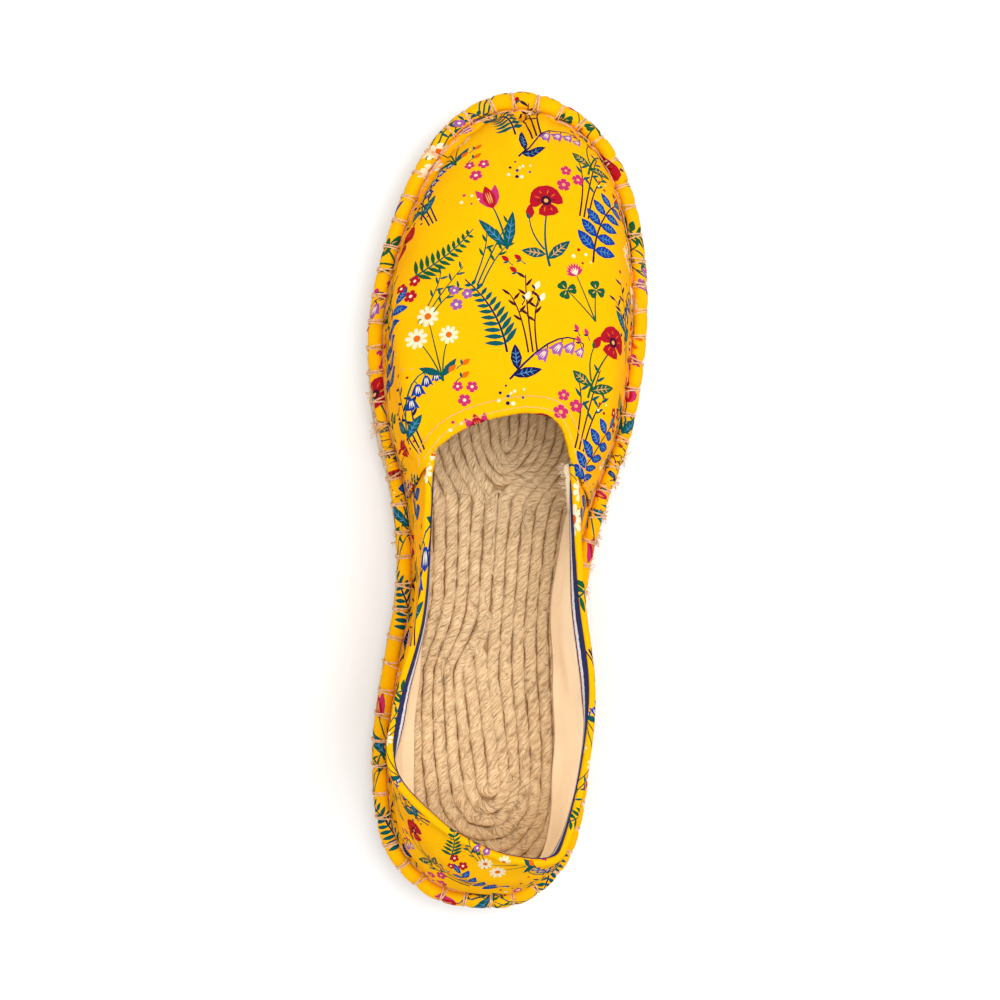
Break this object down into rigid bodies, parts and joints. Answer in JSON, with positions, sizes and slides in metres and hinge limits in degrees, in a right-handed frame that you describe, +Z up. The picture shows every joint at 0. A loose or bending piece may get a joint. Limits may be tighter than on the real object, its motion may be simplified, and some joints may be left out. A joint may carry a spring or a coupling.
{
  "type": "espadrille",
  "caption": "Flat slip-on espadrille: coiled jute rope sole and a floral-print cotton upper with a blanket-stitched hem.",
  "frame": {"origin": "middle of the bounding box, on the ground under the sole", "axes": "+Z up, +Y from heel to toe, +X to the inner (medial) side of the foot"},
  "size_m": [0.0871, 0.2552, 0.0623],
  "materials": {
    "jute": "matte natural jute rope",
    "printed_cotton": "matte plain-weave cotton, printed",
    "tape": "matte striped woven tape",
    "lining": "matte plain cotton",
    "thread": "matte waxed cotton thread"
  },
  "bodies": {
    "root": {"sole": "jute", "upper": "printed_cotton", "collar_tape": "tape"}
  },
  "joints": []
}
